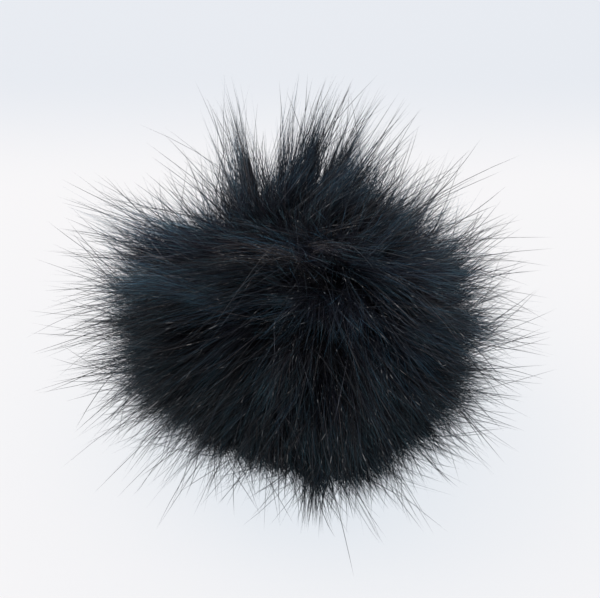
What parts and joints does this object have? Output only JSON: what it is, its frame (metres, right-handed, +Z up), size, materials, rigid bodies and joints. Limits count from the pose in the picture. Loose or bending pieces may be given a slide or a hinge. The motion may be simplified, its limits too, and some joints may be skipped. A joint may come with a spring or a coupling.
{
  "type": "pom pom",
  "caption": "Fluffy faux fur pom pom, a soft ball of long combed pile that fans out from a crown, for trimming hats, bags and cushions.",
  "frame": {"origin": "on the floor, in the small flat spot that the ball rests on, under its middle", "axes": "+Z up, through the ball, which is lowest that way; +X to the right along its width; -Y is the front, where the pile is combed down from the crown"},
  "size_m": [0.1428, 0.1344, 0.0975],
  "materials": {
    "black_fur": "long soft synthetic pile, blue-black, with finer and longer guard hairs that catch the light"
  },
  "bodies": {
    "root": {"fur_pile": "black_fur"}
  },
  "joints": []
}
